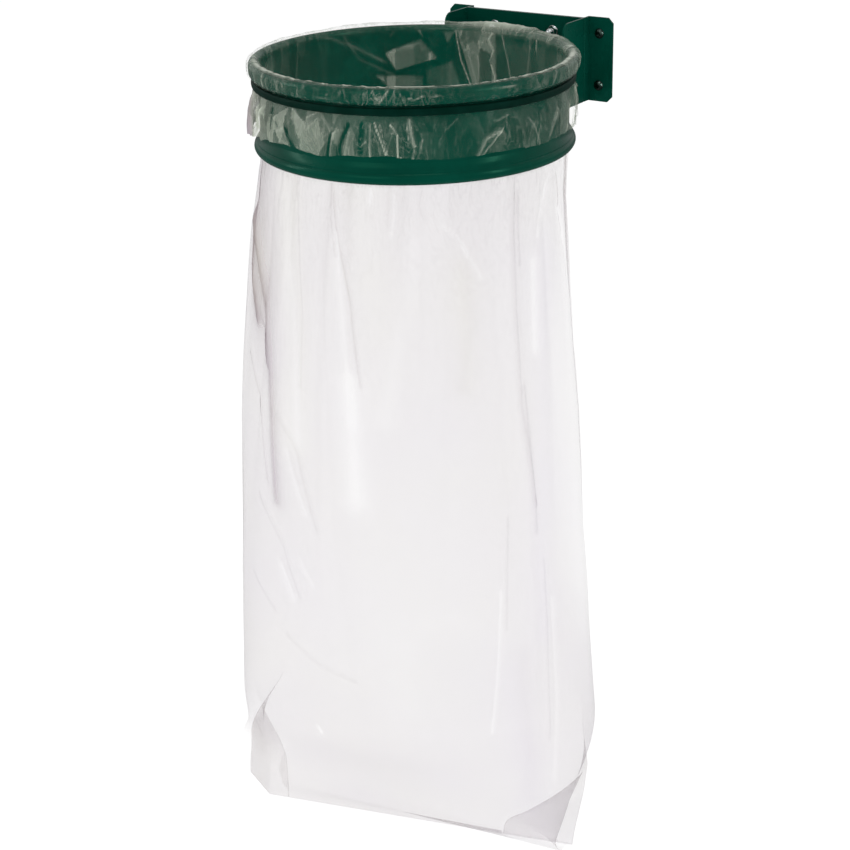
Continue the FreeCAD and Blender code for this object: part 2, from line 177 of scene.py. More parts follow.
def makeRubber():
    material, tree, output = newMaterial("extrudedRubber")
    place = addNode(tree, "ShaderNodeTexCoord").outputs["Object"]
    dust = addNode(tree, "ShaderNodeTexNoise", {"Scale": 1 / rubber["dustSize"], "Detail": 4.0},
                   {"Vector": place})
    colour = addNode(tree, "ShaderNodeValToRGB", links={"Fac": dust.outputs["Fac"]},
                     stops=[(0.4, hexColour(rubber["colour"])), (0.7, hexColour(rubber["colourDusty"]))])
    stretch = addNode(tree, "ShaderNodeMapping", {"Scale": (0.02, 0.02, 1.0)}, {"Vector": place})
    lines = addNode(tree, "ShaderNodeTexNoise", {"Scale": 1 / rubber["lineSize"], "Detail": 2.0},
                    {"Vector": stretch.outputs["Vector"]})
    bump = addNode(tree, "ShaderNodeBump", {"Strength": 0.3, "Distance": 0.1 * mm},
                   {"Height": lines.outputs["Fac"]})
    shader = addNode(tree, "ShaderNodeBsdfPrincipled",
                     {"IOR": 1.52, "Roughness": rubber["roughness"],
                      "Specular IOR Level": rubber["gloss"],
                      "Specular Tint": hexColour(rubber["glossTint"])},
                     {"Base Color": colour.outputs["Color"], "Normal": bump.outputs["Normal"]})
    tree.links.new(shader.outputs["BSDF"], output.inputs["Surface"])
    return material


def makeMetal(name, metal):
    material, tree, output = newMaterial(name)
    place = addNode(tree, "ShaderNodeTexCoord").outputs["Object"]
    stain = addNode(tree, "ShaderNodeTexNoise", {"Scale": 1 / metal["stainSize"], "Detail": 4.0},
                    {"Vector": place})
    colour = addNode(tree, "ShaderNodeValToRGB", links={"Fac": stain.outputs["Fac"]},
                     stops=[(0.35, hexColour(metal["dull"])), (0.65, hexColour(metal["colour"]))])
    rough = addNode(tree, "ShaderNodeValToRGB", links={"Fac": stain.outputs["Fac"]},
                    stops=[(0.3, grey(metal["roughness"] + 0.08)), (0.7, grey(metal["roughness"]))])
    bump = addNode(tree, "ShaderNodeBump", {"Strength": 0.15, "Distance": 0.05 * mm},
                   {"Height": stain.outputs["Fac"]})
    shader = addNode(tree, "ShaderNodeBsdfPrincipled", {"Metallic": 1.0},
                     {"Base Color": colour.outputs["Color"], "Roughness": rough.outputs["Color"],
                      "Normal": bump.outputs["Normal"]})
    tree.links.new(shader.outputs["BSDF"], output.inputs["Surface"])
    return material


# Zinc-plated steel, passivated, with slightly cloudy patches: its grey is darkened and tinted green, a
# painted reflection of the green paint round the screws and bolts
zinc = {"colour": "#4E5F59", "dull": "#2C3B36", "roughness": 0.2, "stainSize": 2.5 * mm}
# Stainless steel, polished in the press: bright, with clean reflections
stainless = {"colour": "#D5D8D8", "dull": "#B9BEBE", "roughness": 0.14, "stainSize": 3 * mm}

# Low-density polyethylene film, blown: clear but slightly milky, whiter where it is gathered or seen edge
# on, with a wet-looking gloss on its creases and painted highlights along them, drawn as whiter film; over
# the paint it carries painted green light bounced from the paint
film = {
    "colour": "#B8AAB2",
    "warm": "#BFB5A6",
    "lilac": "#AB92BA",
    # the tint of the painted green light that the paint bounces onto the film over it
    "paintBounce": "#C9D2C0",
    "roughness": 0.24,
    "edgeMilk": 0.6,        # how much milkier the film gets where it is seen edge on
    # painted highlights: how much whiter the film is drawn along its creases
    "creaseHighlight": 0.2,
    "crinkleSize": 14 * mm,
    "driftSize": 160 * mm,
}


def makeFilm():
    material, tree, output = newMaterial("blownPolyethyleneFilm")
    place = addNode(tree, "ShaderNodeTexCoord").outputs["Object"]
    drift = addNode(tree, "ShaderNodeTexNoise", {"Scale": 1 / film["driftSize"], "Detail": 2.0},
                    {"Vector": place})
    stain = addNode(tree, "ShaderNodeAttribute", attribute_name="stain")
    tone = addNode(tree, "ShaderNodeMath", {1: 0.5}, {0: drift.outputs["Fac"], 2: stain.outputs["Fac"]},
                   operation="MULTIPLY_ADD")
    colour = addNode(tree, "ShaderNodeValToRGB", links={"Fac": tone.outputs["Value"]},
                     stops=[(0.0, hexColour(film["warm"])), (0.27, hexColour(film["colour"])),
                            (0.6, hexColour(film["lilac"]))])
    # over the green steel the film is tinted green: painted green light bounced from the paint
    paintBounce = addNode(tree, "ShaderNodeAttribute", attribute_name="paintBounce")
    mixed = addNode(tree, "ShaderNodeMix", {7: hexColour(film["paintBounce"])},
                    {0: paintBounce.outputs["Fac"], 6: colour.outputs["Color"]}, data_type="RGBA")
    drawn = addNode(tree, "ShaderNodeMapping", {"Scale": (1.0, 1.0, 0.35)}, {"Vector": place})
    crinkle = addNode(tree, "ShaderNodeTexNoise",
                      {"Scale": 1 / film["crinkleSize"], "Detail": 3.0, "Roughness": 0.55,
                       "Distortion": 0.8}, {"Vector": drawn.outputs["Vector"]})
    # a crease stands where the noise passes its middle value
    crease = addNode(tree, "ShaderNodeValToRGB", links={"Fac": crinkle.outputs["Fac"]},
                     stops=[(0.472, grey(0.0)), (0.5, grey(1.0)), (0.528, grey(0.0))])
    loose = addNode(tree, "ShaderNodeAttribute", attribute_name="loose")
    lift = addNode(tree, "ShaderNodeMath", operation="MULTIPLY",
                   links={0: crease.outputs["Color"], 1: loose.outputs["Fac"]})
    bump = addNode(tree, "ShaderNodeBump", {"Strength": 0.6, "Distance": 1.2 * mm},
                   {"Height": lift.outputs["Value"]})
    edge = addNode(tree, "ShaderNodeLayerWeight", {"Blend": 0.5},
                   {"Normal": bump.outputs["Normal"]})
    edgePower = addNode(tree, "ShaderNodeMath", {1: 1.5}, {0: edge.outputs["Facing"]},
                        operation="POWER")
    milk = addNode(tree, "ShaderNodeAttribute", attribute_name="milk")
    # light goes further through the film where it is seen edge on
    further = addNode(tree, "ShaderNodeMath", {1: film["edgeMilk"], 2: 1.0},
                      {0: edgePower.outputs["Value"]}, operation="MULTIPLY_ADD")
    base = addNode(tree, "ShaderNodeMath", operation="MULTIPLY",
                   links={0: milk.outputs["Fac"], 1: further.outputs["Value"]})
    # painted highlights: the creases are drawn whiter, as more opaque film
    creaseHighlight = addNode(tree, "ShaderNodeMath", {1: film["creaseHighlight"]},
                         {0: lift.outputs["Value"]}, operation="MULTIPLY")
    total = addNode(tree, "ShaderNodeMath", operation="ADD", use_clamp=True,
                    links={0: base.outputs["Value"], 1: creaseHighlight.outputs["Value"]})
    shader = addNode(tree, "ShaderNodeBsdfPrincipled",
                     {"IOR": 1.51, "Roughness": film["roughness"], "Specular IOR Level": 0.6},
                     {"Base Color": mixed.outputs[2], "Normal": bump.outputs["Normal"],
                      "Alpha": total.outputs["Value"]})
    tree.links.new(shader.outputs["BSDF"], output.inputs["Surface"])
    return material


powderCoat = makePowderCoat()
rubberMaterial = makeRubber()
zincMaterial = makeMetal("zincPlate", zinc)
stainlessMaterial = makeMetal("polishedStainless", stainless)
filmMaterial = makeFilm()

for nodeName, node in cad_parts.items():
    if nodeName.startswith(("cap_nut", "bolt_washer")):
        finish = stainlessMaterial
    elif nodeName.startswith(("wall_screw", "bracket_bolt")):
        finish = zincMaterial
    elif nodeName == "strap":
        finish = rubberMaterial
    elif nodeName == "bag":
        finish = filmMaterial
    else:
        finish = powderCoat
    for place in node.material_slots:
        place.material = finish
print("materials made")

bag = {
    "around": 800,              # points round the film
    "flatWidth": 1400 * mm,     # once round, as cut
    "flatLength": 1150 * mm,
    "seamAngle": 16.0,          # degrees, the bottom seam against the wall
    "seamDepth": 1040.0,        # mm below the rim
    "seamRight": 226.0,         # mm from the seam's middle to its right end
    "seamLeft": 280.0,          # mm to its left end, round the bend
    "seamBend": 214.0,          # mm to the left where it bends
    "seamBendAngle": 43.0,
    "seamMiddle": (32.0, -92.0),
    "leftGap": 0.14,            # how open the left fold stands, against the right one
    "gapLess": 5,               # mm that a folded side opens less than half the bag's depth
    "shutFrom": 850.0,          # depth where the sides start to fold in
    "shutOver": 130,            # and how much further down they are shut
    "bodyStep": 5.0,
    "cuffLength": 130,          # mm of film from the hem to the inside of the rim
    "cuffRound": 1257,          # mm round the rim
    "facetWide": 15,            # mm, the flat facets of crumpled film
    "facetTall": 24,
    "rimRadius": 200,           # mm, where the folds of each part are drawn
    "skirtRadius": 198,
    "wallRadius": 187,
    "bodyRadius": 215,
    "seed": 7,
}

# From the hem of the skirt, up under the strap, over the rim and down inside: radius and height in mm
cuffLine = [
    (197.2, -80), (198.2, -68), (198.0, -56), (196.6, -46), (194.6, -37.5), (192.3, -31.6),
    (191.9, -27), (191.9, -22.4), (193.8, -20.6), (197.2, -18.9), (199.8, -15.8), (200.8, -12),
    (200.8, -6),
]
cuffTop = [(194 + 6.8 * math.cos(a), -6 + 6.8 * math.sin(a))
           for a in np.linspace(0.12, math.pi - 0.12, 14)]
cuffInside = [(187.2, -6), (187.0, -20), (186.8, -60), (186.5, -100), (186.6, -112)]

# depth below the rim, how far the film reaches to the left and to the right of the collar's axis seen
# from the camera's side, half its thickness square to the seam, and how far it swings forward, all mm
bodySections = np.array([
    (112, -186.6, 186.6, 186.6, 0),
    (140, -193, 186.3, 188, 2),
    (172, -198.5, 186.0, 190, 5),
    (215, -206, 189, 193, 8),
    (280, -214, 193, 197, 10),
    (383, -225, 200, 200, 15),
    (452, -232, 206, 202, 20),
    (523, -237, 210, 203, 25),
    (596, -241, 212, 202, 30),
    (671, -246, 217, 198, 36),
    (748, -249, 220, 190, 44),
    (826, -252, 224, 172, 54),
    (907, -255, 228, 132, 66),
    (960, -255, 228, 112, 74),
    (1000, -257, 228, 76, 80),
    (1025, -258, 228, 20, 84),
    (1040, -260, 228, 6, 86),
], float)


# points spaced evenly along a line
def resample(points, step):
    line = np.array(points, float)
    length = np.concatenate([[0], np.cumsum(np.hypot(*np.diff(line, axis=0).T))])
    count = max(2, int(round(length[-1] / step)) + 1)
    spots = np.linspace(0, length[-1], count)
    return np.column_stack([np.interp(spots, length, line[:, k]) for k in range(line.shape[1])])


def softened(line, passes):
    line = line.copy()
    for _ in range(passes):
        line[1:-1] = (line[:-2] + 2 * line[1:-1] + line[2:]) / 4
    return line


def smoothStep(low, high, value):
    t = np.clip((value - low) / (high - low), 0, 1)
    return t * t * (3 - 2 * t)


# smooth noise from -1 to 1 that closes on itself round the film
def ripple(generator, turn, along, cellsRound, cellsAlong):
    cellsAlong = max(1, int(cellsAlong))
    grid = generator.uniform(-1, 1, (cellsAlong + 2, cellsRound))
    u = (turn % 1.0) * cellsRound
    v = np.clip(along, 0, 1) * cellsAlong
    iu, iv = np.floor(u).astype(int), np.floor(v).astype(int)
    fu, fv = u - iu, v - iv
    fu, fv = fu * fu * (3 - 2 * fu), fv * fv * (3 - 2 * fv)
    a, b = iu % cellsRound, (iu + 1) % cellsRound
    low = grid[iv, a] * (1 - fu) + grid[iv, b] * fu
    high = grid[iv + 1, a] * (1 - fu) + grid[iv + 1, b] * fu
    return (low * (1 - fv) + high * fv) * 1.35


# noise turned into sharp-backed pleats between 0 and 1
def pleated(noise):
    return 1 - np.clip(np.abs(noise) * 1.6, 0, 1)


# a value read from (bearing, value) pairs round the whole turn, in degrees
def byBearing(bearing, table):
    spots = np.array([p[0] for p in table], float)
    values = np.array([p[1] for p in table], float)
    order = np.argsort(spots)
    spots, values = spots[order], values[order]
    spots = np.concatenate([[spots[-1] - 360], spots, [spots[0] + 360]])
    values = np.concatenate([[values[-1]], values, [values[0]]])
    return np.interp((bearing + 180) % 360 - 180, spots, values)


# signed degrees from a bearing to the centre
def nearBearing(bearing, centre):
    return (bearing - centre + 180) % 360 - 180


# points on an ellipse at even arc length, turn from 0 to 1 starting on its long axis
def openRing(half, depth, turn, count=720):
    angle = np.linspace(0, 2 * math.pi, count + 1)
    x, y = half * np.cos(angle), depth * np.sin(angle)
    length = np.concatenate([[0], np.cumsum(np.hypot(np.diff(x), np.diff(y)))])
    length /= length[-1]
    return np.interp(turn, length, x), np.interp(turn, length, y)


# how strongly each point lies on drawn folds: points in (degrees, mm), then a half width in mm
def strokes(bearing, depth, radius, lines):
    total = np.zeros(np.broadcast(bearing, depth).shape)
    lift = np.zeros_like(total)
    perDegree = radius * math.pi / 180
    for points, width, milk, push in lines:
        best = np.full_like(total, 1e9)
        for (b0, d0), (b1, d1) in zip(points[:-1], points[1:]):
            px = nearBearing(bearing, b0) * perDegree
            py = depth - d0
            vx, vy = nearBearing(b1, b0) * perDegree, d1 - d0
            t = np.clip((px * vx + py * vy) / (vx * vx + vy * vy), 0, 1)
            best = np.minimum(best, np.hypot(px - t * vx, py - t * vy))
        shape = np.exp(-(best / (0.62 * width)) ** 1.5)
        total += milk * shape
        lift += push * shape
    return total, lift


# 1 inside a four-sided panel given by corners in (degrees, mm), 0 outside
def insidePanel(bearing, depth, radius, corners, soft=1.4):
    perDegree = radius * math.pi / 180
    centre = (sum(nearBearing(c[0], corners[0][0]) for c in corners) / len(corners),
              sum(c[1] for c in corners) / len(corners))
    inside = np.full(np.broadcast(bearing, depth).shape, 1e9)
    for (b0, d0), (b1, d1) in zip(corners, corners[1:] + corners[:1]):
        vx, vy = nearBearing(b1, b0) * perDegree, d1 - d0
        length = math.hypot(vx, vy)
        px, py = nearBearing(bearing, b0) * perDegree, depth - d0
        cx = (centre[0] - nearBearing(b0, corners[0][0])) * perDegree
        cy = centre[1] - d0
        way = 1 if (vx * cy - vy * cx) > 0 else -1
        inside = np.minimum(inside, way * (vx * py - vy * px) / length)
    near = np.abs(nearBearing(bearing, corners[0][0])) < 90
    return smoothStep(-soft, soft, inside) * near


# flat facets with straight creases, as crumpled film has: value, crease and tilt at each point
def crumple(generator, around, down, period, cellWide, cellTall):
    reach = float(down.max() - down.min())
    count = max(6, int(period / cellWide * reach / cellTall))
    seedX = generator.uniform(0, period, count)
    seedY = generator.uniform(down.min() - cellTall / 2, down.max() + cellTall / 2, count)
    value = generator.uniform(0, 1, count)
    tilt = generator.uniform(-1, 1, (2, count))
    shape = np.broadcast(around, down).shape
    around, down = np.broadcast_to(around, shape), np.broadcast_to(down, shape)
    first, second = np.full(shape, 1e9), np.full(shape, 1e9)
    owner = np.zeros(shape, int)
    for k in range(count):
        dx = (around - seedX[k] + period / 2) % period - period / 2
        dy = (down - seedY[k]) * (cellWide / cellTall)
        distance = np.hypot(dx, dy)
        closer = distance < first
        second = np.where(closer, first, np.minimum(second, distance))
        first = np.where(closer, distance, first)
        owner = np.where(closer, k, owner)
    dx = (around - seedX[owner] + period / 2) % period - period / 2
    dy = down - seedY[owner]
    crease = 1 - smoothStep(0, 2.2, second - first)
    lean = (tilt[0][owner] * dx + tilt[1][owner] * dy * cellWide / cellTall) / cellWide
    return value[owner], crease, lean


# the ring as it lies in the seam: front and back flat, each side folded in between them
def foldedRing(turn, gap):
    right, left = bag["seamRight"], bag["seamLeft"]
    fold = (bag["flatWidth"] / mm / 2 - right - left) / 2
    whole = right + left + 2 * fold
    # the side stands open by the gap and its middle is drawn in by as much as the fold needs
    gap = min(gap, fold * 0.999)
    leftGap = gap * bag["leftGap"]
    drawnRight, drawnLeft = math.sqrt(fold ** 2 - gap ** 2), math.sqrt(fold ** 2 - leftGap ** 2)
    # turn 0 is the middle of the right side, and 0.5 the middle of the left
    stops = np.array([0, fold, fold + right + left, whole]) / whole / 2
    path = np.array([right - drawnRight, right, -left, drawnLeft - left])
    stops = np.concatenate([stops, 1 - stops[::-1][1:]])
    path = np.concatenate([path, path[::-1][1:]])
    side = np.interp(turn, stops, np.array([0, gap, leftGap, 0, -leftGap, -gap, 0]))
    along = np.interp(turn, stops, path)
    bend = math.radians(bag["seamBendAngle"])
    beyond = np.clip(-along - bag["seamBend"], 0, None)
    straight = along + beyond
    return straight - beyond * math.cos(bend), side + beyond * math.sin(bend)


# Long folds down the hanging film: bearing at the top and at the bottom in degrees, the depths they
# run between, their height in mm (positive stands inwards) and half width in degrees
longFolds = [
    (-62, -70, 108, 620, 9, 3.2),
    (-48, -58, 108, 420, -6, 2.6),
    (-36, -22, 108, 900, 7, 2.4),
    (-27, -16, 108, 760, -5, 2.2),
    (-5, 4, 300, 900, 3, 3.5),
    (30, 34, 108, 700, 8, 2.4),
    (38, 40, 108, 900, -6, 2.0),
    (52, 56, 108, 560, 6, 2.4),
    (66, 70, 200, 1000, -5, 2.6),
    (84, 82, 108, 700, 7, 2.6),
    (-82, -86, 108, 760, 6, 3.0),
    (-100, -98, 108, 900, -6, 3.0),
    (118, 112, 108, 800, 8, 3.0),
    (140, 134, 108, 620, -7, 2.6),
    (160, 166, 108, 900, 8, 2.8),
    (-172, -178, 108, 520, 7, 3.0),
    (-150, -144, 108, 900, -7, 2.6),
    (-128, -130, 108, 700, 8, 3.0),
]


# Folds that stand on their own: points in (bearing in degrees, depth below the rim in mm), half width in
# mm, how milky (negative is clearer) and how far it stands off in mm; on the skirt the milkier ones are
# painted highlights
skirtFolds = [
    ([(-57.6, 39), (-57.6, 65)], 3.2, -0.3, -1),
    ([(-48.7, 60), (-46.6, 73), (-45.1, 85)], 4.2, -0.42, -1.5),
    ([(-53.8, 52), (-52.7, 59)], 2.4, -0.2, -1),
    ([(-29, 55), (-31.4, 84)], 3.4, -0.34, -1),
    ([(-23, 43), (-25.4, 67), (-26.2, 85)], 4, -0.36, -1.5),
    ([(-17.7, 41), (-18.5, 75)], 3.2, -0.3, -1),
    ([(-64.2, 43), (-73, 79), (-80.1, 106)], 4.4, 0.36, 3),
    ([(-68.7, 55), (-78.9, 96)], 1.2, 0.3, 1.5),
    ([(-80.1, 62), (-80.1, 87)], 2, 0.3, 1.5),
    ([(-39.3, 40), (-34, 31), (-29, 50), (-32.3, 87)], 1.6, 0.2, 1.4),
    ([(-26.6, 46), (-29.4, 80)], 1.4, 0.26, 1.5),
    ([(-21.9, 46), (-24.2, 83)], 1.4, 0.2, 1.4),
    ([(-14.9, 40), (-15.1, 82)], 1.3, 0.5, 2),
    ([(-13.3, 39), (-11.1, 62), (-9.7, 78)], 1.4, 0.5, 2.2),
    ([(-11.8, 39), (-9.3, 75)], 1, 0.3, 1.6),
    ([(-8.2, 40), (-5.7, 52), (-5.8, 80)], 1.1, 0.5, 2.2),
    ([(-18.5, 68), (-16.2, 61)], 0.9, 0.4, 1),
    ([(-16.6, 62), (-15.9, 44)], 0.8, 0.2, 1),
    ([(-1.8, 36), (-1.1, 53), (-0.4, 64)], 3.4, 0.42, 2.2),
    ([(-2.8, 39), (-2.1, 58)], 1, 0.4, 1.4),
    ([(-5, 80), (-2.8, 84), (-0.7, 81), (1.4, 84)], 1.3, 0.46, 1.4),
    ([(0, 64), (-1.1, 83)], 1.2, 0.36, 1.6),
    ([(2.5, 56), (1.1, 77)], 0.9, 0.3, 1.2),
    ([(14.4, 36), (10, 48)], 1.2, 0.2, 1),
    ([(27.4, 44), (33.1, 39)], 1.3, 0.3, 1.6),
    ([(21.1, 79), (24.2, 61), (29, 55)], 3.4, 0.3, 2.2),
    ([(22.3, 82), (26.6, 66), (30.6, 51)], 1.1, 0.4, 1.6),
    ([(31.9, 46), (32.7, 63), (31, 73)], 1, 0.26, 1.2),
    ([(41.2, 47), (44.1, 60), (47.1, 79)], 1, 0.26, 1.4),
    ([(47.1, 46), (45.1, 85)], 1, 0.2, 1.2),
    ([(57.6, 47), (52.7, 72)], 2.6, 0.2, 1.6),
    ([(66.8, 48), (63.4, 77)], 2, 0.22, 1.6),
    ([(73, 65), (69.7, 81)], 1.4, 0.26, 1.4),
]
# on the rim, the milky lines are partly painted highlights on the film's folds and partly crinkled film
rimFolds = [
    ([(-8.4, 2), (-11.1, 14), (-14.6, 20)], 1.7, 0.42, 0),
    ([(-13.5, 2), (-11.1, 14)], 1.4, 0.34, 0),
    ([(-61, 1), (-60.5, 20)], 1.4, 0.4, 0),
    ([(-51, 2), (-51, 15)], 2.2, 0.22, 0),
    ([(-41, 6), (-42, 20)], 1.4, 0.2, 0),
    ([(-2, 9), (0, 11), (3, 7)], 0.9, 0.4, 0),
    ([(5, 9), (8, 7)], 0.8, 0.3, 0),
    ([(28, 6), (33, 5), (37, 7)], 0.9, 0.3, 0),
    ([(44, 3), (46, 16)], 1, 0.24, 0),
    ([(55, 2), (52, 18)], 1.3, 0.26, 0),
    ([(-34, 12), (-28, 14)], 1, 0.18, 0),
]
wallFolds = [
    ([(162.7, -2), (161.6, 22), (160.3, 44), (155.7, 79), (152, 104)], 1.3, 0.42, 3.0),
    ([(144.2, -4), (147.2, 14), (145.0, 28), (146.8, 41), (144.6, 60), (144.3, 84)], 1.4, 0.46, 3.0),
    ([(158, 0), (156, 40), (152, 84)], 2.2, 0.10, 2.0),
    ([(152, 4), (151, 50)], 2.0, 0.12, 2.0),
    ([(141.3, 7), (139, 36), (137.1, 64), (136, 90)], 1.1, 0.36, 2.0),
    ([(122.5, -2), (122.5, 19)], 1.2, 0.30, 1.0),
    ([(126, 4), (128, 44), (131, 90)], 1.6, 0.14, 1.6),
    ([(-139.3, 0), (-155, 22), (-168.5, 46)], 2.4, 0.16, 1.6),
    ([(-150, 2), (-158, 40), (-172, 64)], 1.8, 0.10, 1.2),
    ([(-128, 2), (-126, 50), (-120, 96)], 1.6, 0.12, 1.4),
    ([(-118, 0), (-112, 60)], 1.6, 0.14, 1.4),
    ([(-108, 4), (-104, 70)], 1.4, 0.12, 1.2),
    ([(178, 2), (176, 14)], 1.2, 0.24, 1.0),
    ([(-174, 0), (-171, 12)], 1.0, 0.20, 1.0),
]
# flat patches of crumpled film inside the collar: corners, how milky and how far they stand off in mm
wallPanels = [
    ([(191.4, 34.2), (176.7, 17.6), (170.3, 42.5), (187.1, 57.3)], 0.34, 5.0),
    ([(195.0, 63.6), (176.2, 66.3), (176.3, 83.5), (189.0, 84.0)], 0.30, 4.0),
    ([(167.3, 8.4), (163.1, 8.1), (165.3, 21.3), (166.0, 20.0)], 0.30, 2.0),
    ([(163.0, -4.0), (144.4, -4.0), (144.4, 96.0), (153.0, 96.0)], 0.17, 3.0),
    ([(175.0, 60.0), (164.0, 46.0), (160.0, 84.0), (174.0, 90.0)], 0.07, 2.0),
]
# longer folds of the hanging film, as above; their milk paints streaks of shade (milkier film) and of
# highlight (clearer film) down the bag
bodyFolds = [
    ([(-78.8, 190), (-66.8, 257), (-56.4, 363), (-50.9, 518)], 15, 0.3, 4),
    ([(-80.1, 179), (-80.1, 245), (-70, 307)], 12, 0.34, 3),
    ([(-75.9, 356), (-62.3, 424), (-56.1, 502)], 5, 0.1, 2),
    ([(-68.7, 293), (-59.1, 355)], 3, 0.12, 2),
    ([(-54, 134), (-47.2, 276), (-43.1, 433)], 28, -0.09, -5),
    ([(-45, 131), (-40.9, 270), (-41.6, 368)], 2.5, 0.07, 1.5),
    ([(-27.4, 173), (-23.9, 292), (-21.5, 399)], 10, -0.09, -3),
    ([(-22, 351), (-19.7, 494)], 24, -0.13, -5),
    ([(-29.4, 126), (-26, 184), (-21, 254), (-17.6, 354)], 3, 0.16, 3),
    ([(-31.1, 114), (-27.9, 197)], 3, 0.1, 2),
    ([(-15.6, 119), (-15.8, 132)], 4, -0.13, -1),
    ([(-7.4, 118), (-6.8, 147), (-7.4, 171)], 4, -0.07, -1.5),
    ([(-9.3, 118), (-8.9, 160)], 3, 0.07, 1.5),
    ([(1.2, 177), (-3.9, 285), (-9.3, 393)], 26, -0.04, -2),
    ([(19.3, 211), (19.9, 289), (17.1, 354)], 22, 0.05, 2),
    ([(10.2, 160), (17.5, 180), (24.9, 226)], 4, -0.07, -2),
    ([(36.6, 130), (36.9, 266), (37.5, 389), (40.9, 516)], 4, 0.13, 4),
    ([(39.3, 133), (39.2, 219)], 2.5, 0.12, 2),
    ([(38.8, 366), (40.7, 491), (41.4, 553)], 6, 0.1, 3),
    ([(46.1, 220), (45.2, 324)], 11, -0.11, -3),
    ([(55.3, 135), (49.3, 191)], 6, -0.08, -2),
    ([(65.7, 173), (72.4, 260), (79.2, 362)], 10, -0.11, -3),
    ([(63.9, 132), (66.5, 200)], 3, 0.09, 2),
    ([(-54.1, 404), (-41.1, 454), (-33.5, 543)], 4, 0.08, 3),
    ([(-48.3, 452), (-38.7, 525)], 6, -0.07, -3),
    ([(-61.1, 523), (-47.9, 576), (-41.1, 639)], 4, 0.07, 3),
    ([(-50.4, 605), (-44.7, 645)], 8, -0.07, -3),
    ([(-66.1, 635), (-53.2, 672)], 4, 0.06, 2),
    ([(-41, 589), (-36, 619)], 5, -0.05, -2),
    ([(-48.2, 701), (-35.2, 728), (-22.3, 743)], 5, 0.05, 2.5),
    ([(-5.2, 685), (-5.6, 775)], 60, -0.03, -1),
    ([(27.9, 621), (25.5, 740), (23, 816)], 4, -0.09, -3),
    ([(30.9, 528), (28.8, 671)], 3, 0.07, 3),
    ([(34.4, 715), (35.8, 827), (37.7, 915)], 28, 0.04, 1),
    ([(48, 650), (48.5, 776), (46.5, 896)], 6, -0.05, -2),
    ([(44.7, 595), (44.4, 842)], 3, 0.06, 2),
    ([(-41.2, 833), (-40.8, 843)], 4, -0.14, -1.5),
    ([(-72, 118), (-67, 230), (-62, 330)], 55, 0.16, 0),
    ([(-80, 130), (-76, 240), (-72, 300)], 30, 0.2, 0),
]
# where the film looks warmer (negative) or more lilac (positive)
bodyStains = [
    ([(53, 208), (47.2, 425), (42.1, 690)], 34, 0.25, 0),
    ([(28.4, 743), (37.7, 915)], 50, 0.25, 0),
    ([(-51.6, 132), (-45.2, 274), (-43.1, 433)], 36, -0.45, 0),
    ([(17.4, 210), (19.2, 355)], 30, -0.2, 0),
    ([(-19, 120), (-10.9, 274)], 60, -0.15, 0),
    ([(-76, 118), (-66, 330)], 60, -0.1, 0),
]
# loose film along the hem: bearing, half width in degrees, how far out and how far down in mm
hemLobes = [
    (-86, 9, 7, 11), (-68, 4, 1, 4), (-50, 8, 1.5, -3), (-12, 9, 0.5, -3), (-3, 6, 1.5, 0),
    (34, 9, 1, -1), (66, 12, 1, -3), (92, 8, 1, -6), (140, 14, 3, 3), (-140, 16, 3, 4),
]
# values that change round the film, at bearings in degrees
roundTheFilm = {
    # how bunched it is: bunched film is loose, stretched film is tight
    "bunch": [
        (-180, 0.45), (-150, 0.5), (-120, 0.7), (-95, 1.0), (-72, 0.9), (-48, 0.85), (-28, 0.7),
        (-8, 0.95), (6, 0.45), (18, 0.25), (34, 0.6), (50, 0.55), (66, 0.6), (86, 0.9), (110, 0.8),
        (140, 0.8), (158, 0.7),
    ],
    # mm that it stands off the rim: tight at the front, puckered at the sides, loose at the back
    "standOff": [
        (-180, 3.6), (-150, 3.2), (-120, 1.8), (-90, 1.4), (-60, 0.9), (-20, 0.4), (20, 0.3), (60, 0.8),
        (90, 1.8), (120, 3.0), (142, 5.8), (150, 6.2), (162, 3.4),
    ],
    # how milky it is on the rim, on the skirt and inside the collar
    "rimMilk": [
        (-180, 0.03), (-150, 0.06), (-120, 0.08), (-92, 0.12), (-72, 0.08), (-58, 0.06), (-50, 0.06),
        (-44, 0.02), (-32, 0.02), (-18, 0.01), (10, 0.008), (36, 0.015), (50, 0.04), (66, 0.12), (78, 0.2),
        (90, 0.24), (110, 0.2), (125, 0.16), (145, 0.2), (160, 0.1), (168, 0.03),
    ],
    "skirtMilk": [
        (-180, 0.14), (-120, 0.2), (-98, 0.5), (-76, 0.42), (-66, 0.3), (-50, 0.3), (-38, 0.26),
        (-26, 0.2), (-16, 0.08), (-4, 0.05), (6, 0.02), (20, 0.02), (30, 0.06), (38, 0.08), (48, 0.03),
        (58, 0.06), (68, 0.16), (90, 0.24), (120, 0.2),
    ],
    "wallMilk": [
        (-180, 0.0), (-150, 0.01), (-120, 0.05), (-95, 0.12), (-80, 0.1), (80, 0.1), (100, 0.14),
        (120, 0.08), (140, 0.05), (165, 0.0),
    ],
}


# a mesh piece with its material
def addPiece(name, points, faces, material):
    mesh = bpy.data.meshes.new(name)
    mesh.from_pydata(points, [], faces)
    mesh.update()
    mesh.shade_smooth()
    mesh.materials.append(material)
    item = bpy.data.objects.new(name, mesh)
    bpy.context.scene.collection.objects.link(item)
    return item


